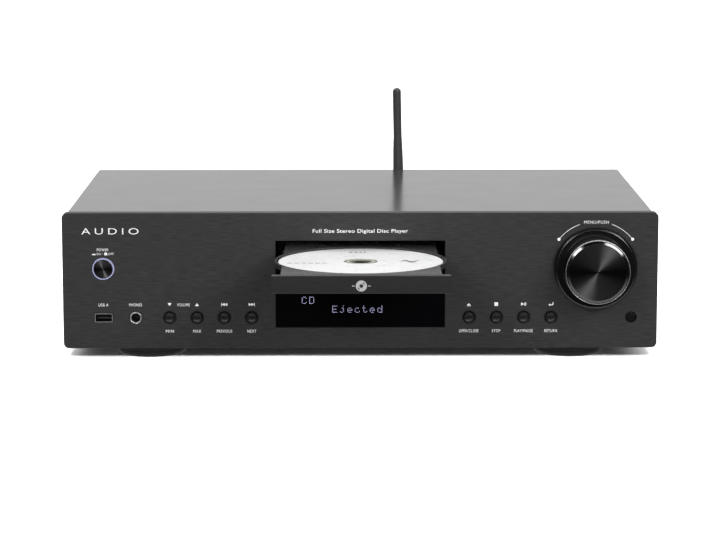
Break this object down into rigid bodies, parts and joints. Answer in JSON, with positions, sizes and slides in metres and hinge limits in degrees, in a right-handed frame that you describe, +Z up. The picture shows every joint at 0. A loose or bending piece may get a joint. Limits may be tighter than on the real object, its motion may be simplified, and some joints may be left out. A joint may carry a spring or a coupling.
{
  "type": "disc player",
  "caption": "Full-width audio disc player with a motorised front tray, a disc, a dark display window, round push buttons, a large push-and-turn knob, round feet and a rod aerial behind.",
  "frame": {"origin": "on the floor, under the middle of the whole box with the tray out and the aerial up", "axes": "+X to the right seen from the front, +Y from the front panel to the back, +Z up"},
  "size_m": [0.445, 0.423, 0.181],
  "materials": {
    "black_aluminium": "black anodised, finely brushed",
    "painted_steel": "satin black powder coat",
    "zinc_steel": "zinc plated",
    "bright_steel": "bright nickel plate",
    "gold_brass": "gold plated",
    "ring_winding": "yellow tape over copper and steel",
    "black_plastic": "satin black moulding",
    "white_plastic": "natural acetal",
    "light_guide": "clear, lit bluish white",
    "smoked_acrylic": "polished black acrylic",
    "printed_disc": "white print on polycarbonate",
    "black_rubber": "matt",
    "circuit_board": "green solder mask"
  },
  "bodies": {
    "chassis": {"chassis_base": "zinc_steel", "top_cover": "painted_steel", "rear_panel": "painted_steel", "front_panel": "black_aluminium", "front_carrier": "zinc_steel", "foot_front_left": "black_rubber", "foot_front_right": "black_rubber", "foot_rear_left": "black_rubber", "foot_rear_right": "black_rubber", "display_window": "smoked_acrylic", "display_module": "black_plastic", "ir_window": "smoked_acrylic", "usb_socket": "bright_steel", "headphone_socket": "bright_steel", "encoder_body": "zinc_steel", "left_key_board": "circuit_board", "right_key_board": "circuit_board", "power_light_ring": "light_guide", "loader_frame": "black_plastic", "loading_motor": "bright_steel", "drive_belt": "black_rubber", "clamp_bridge": "zinc_steel", "main_board": "circuit_board", "power_board": "circuit_board", "transformer": "ring_winding", "ribbon_cable": "white_plastic", "audio_output_block": "black_plastic", "digital_output_block": "black_plastic", "mains_inlet": "black_plastic", "aerial_socket": "gold_brass"},
    "tray": {"tray": "black_plastic", "tray_front": "black_aluminium"},
    "disc": {"disc": "printed_disc"},
    "drive_gear": {"drive_gear": "white_plastic"},
    "belt_pulley": {"belt_pulley": "white_plastic"},
    "motor_pulley": {"motor_pulley": "white_plastic"},
    "clamp_puck": {"clamp_puck": "black_plastic"},
    "lift_slider": {"lift_slider": "white_plastic"},
    "traverse": {"traverse": "painted_steel", "guide_rod_left": "bright_steel", "guide_rod_right": "bright_steel", "spindle_motor": "bright_steel", "feed_motor": "bright_steel"},
    "turntable": {"turntable": "black_plastic"},
    "pickup": {"pickup": "black_plastic"},
    "feed_gear": {"feed_gear": "white_plastic"},
    "power_button": {"power_button": "black_aluminium"},
    "knob_push": {"encoder_plunger": "black_plastic"},
    "menu_knob": {"menu_knob": "black_aluminium", "encoder_shaft": "bright_steel"},
    "aerial_base": {"aerial_base": "black_plastic"},
    "aerial_rod": {"aerial_rod": "black_plastic"},
    "volume_down_button": {"volume_down_button": "black_plastic"},
    "volume_up_button": {"volume_up_button": "black_plastic"},
    "previous_button": {"previous_button": "black_plastic"},
    "next_button": {"next_button": "black_plastic"},
    "open_close_button": {"open_close_button": "black_plastic"},
    "stop_button": {"stop_button": "black_plastic"},
    "play_pause_button": {"play_pause_button": "black_plastic"},
    "return_button": {"return_button": "black_plastic"}
  },
  "joints": [
    {"name": "tray_slide", "type": "slide", "parent": "chassis", "child": "tray", "axis": [0, -1, 0], "range_m": [-0.131, 0]},
    {"name": "disc_spin", "type": "hinge", "parent": "tray", "child": "disc", "pos_m": [0, -0.1403, 0.0869], "axis": [0, 0, 1], "continuous": true},
    {"name": "drive_gear_turn", "type": "hinge", "parent": "chassis", "child": "drive_gear", "pos_m": [0.028, -0.0525, 0.08], "axis": [0, 0, 1], "range_deg": [0, 751]},
    {"name": "belt_pulley_turn", "type": "hinge", "parent": "chassis", "child": "belt_pulley", "pos_m": [0.011, -0.0525, 0.075], "axis": [0, 0, 1], "range_deg": [-1802, 0]},
    {"name": "motor_pulley_turn", "type": "hinge", "parent": "chassis", "child": "motor_pulley", "pos_m": [-0.02, -0.0525, 0.073], "axis": [0, 0, 1], "range_deg": [-5312, 0]},
    {"name": "clamp_puck_spin", "type": "hinge", "parent": "chassis", "child": "clamp_puck", "pos_m": [0, -0.0093, 0.093], "axis": [0, 0, 1], "continuous": true},
    {"name": "traverse_lift", "type": "hinge", "parent": "chassis", "child": "traverse", "pos_m": [0, 0.0875, 0.07], "axis": [-1, 0, 0], "range_deg": [0, 3.55]},
    {"name": "lift_slider_slide", "type": "slide", "parent": "chassis", "child": "lift_slider", "axis": [1, 0, 0], "range_m": [0, 0.016]},
    {"name": "turntable_spin", "type": "hinge", "parent": "traverse", "child": "turntable", "pos_m": [0, -0.00973, 0.07398], "axis": [0, -0.062, 0.9981], "continuous": true},
    {"name": "pickup_slide", "type": "slide", "parent": "traverse", "child": "pickup", "axis": [0, 0.9981, 0.062], "range_m": [0, 0.034]},
    {"name": "feed_gear_turn", "type": "hinge", "parent": "traverse", "child": "feed_gear", "pos_m": [0.037, 0.03133, 0.07102], "axis": [0, -0.062, 0.9981], "range_deg": [-325, 0]},
    {"name": "power_button_press", "type": "slide", "parent": "chassis", "child": "power_button", "axis": [0, 1, 0], "range_m": [0, 0.0015], "stiffness_N_per_m": 500, "springref_m": -0.001},
    {"name": "volume_down_button_press", "type": "slide", "parent": "chassis", "child": "volume_down_button", "axis": [0, 1, 0], "range_m": [0, 0.0008], "stiffness_N_per_m": 500, "springref_m": -0.001},
    {"name": "volume_up_button_press", "type": "slide", "parent": "chassis", "child": "volume_up_button", "axis": [0, 1, 0], "range_m": [0, 0.0008], "stiffness_N_per_m": 500, "springref_m": -0.001},
    {"name": "previous_button_press", "type": "slide", "parent": "chassis", "child": "previous_button", "axis": [0, 1, 0], "range_m": [0, 0.0008], "stiffness_N_per_m": 500, "springref_m": -0.001},
    {"name": "next_button_press", "type": "slide", "parent": "chassis", "child": "next_button", "axis": [0, 1, 0], "range_m": [0, 0.0008], "stiffness_N_per_m": 500, "springref_m": -0.001},
    {"name": "open_close_button_press", "type": "slide", "parent": "chassis", "child": "open_close_button", "axis": [0, 1, 0], "range_m": [0, 0.0008], "stiffness_N_per_m": 500, "springref_m": -0.001},
    {"name": "stop_button_press", "type": "slide", "parent": "chassis", "child": "stop_button", "axis": [0, 1, 0], "range_m": [0, 0.0008], "stiffness_N_per_m": 500, "springref_m": -0.001},
    {"name": "play_pause_button_press", "type": "slide", "parent": "chassis", "child": "play_pause_button", "axis": [0, 1, 0], "range_m": [0, 0.0008], "stiffness_N_per_m": 500, "springref_m": -0.001},
    {"name": "return_button_press", "type": "slide", "parent": "chassis", "child": "return_button", "axis": [0, 1, 0], "range_m": [0, 0.0008], "stiffness_N_per_m": 500, "springref_m": -0.001},
    {"name": "knob_push", "type": "slide", "parent": "chassis", "child": "knob_push", "axis": [0, 1, 0], "range_m": [0, 0.0005], "stiffness_N_per_m": 3000, "springref_m": -0.001},
    {"name": "knob_turn", "type": "hinge", "parent": "knob_push", "child": "menu_knob", "pos_m": [0.1757, -0.0805, 0.0726], "axis": [0, 1, 0], "continuous": true},
    {"name": "aerial_swivel", "type": "hinge", "parent": "chassis", "child": "aerial_base", "pos_m": [0.0346, 0.1975, 0.078], "axis": [0, 1, 0], "range_deg": [-90, 90]},
    {"name": "aerial_fold", "type": "hinge", "parent": "aerial_base", "child": "aerial_rod", "pos_m": [0.0346, 0.207, 0.078], "axis": [-0.9998, 0, -0.0192], "range_deg": [0, 90]}
  ],
  "couplings": [
    {"joint": "drive_gear_turn", "follows": "tray_slide", "rad_per_m": -100},
    {"joint": "belt_pulley_turn", "follows": "tray_slide", "rad_per_m": 240},
    {"joint": "motor_pulley_turn", "follows": "tray_slide", "rad_per_m": 707.69},
    {"joint": "clamp_puck_spin", "follows": "turntable_spin", "ratio": 1},
    {"joint": "lift_slider_slide", "follows": "traverse_lift", "m_per_rad": 0.25797},
    {"joint": "feed_gear_turn", "follows": "pickup_slide", "rad_per_m": -166.67}
  ]
}
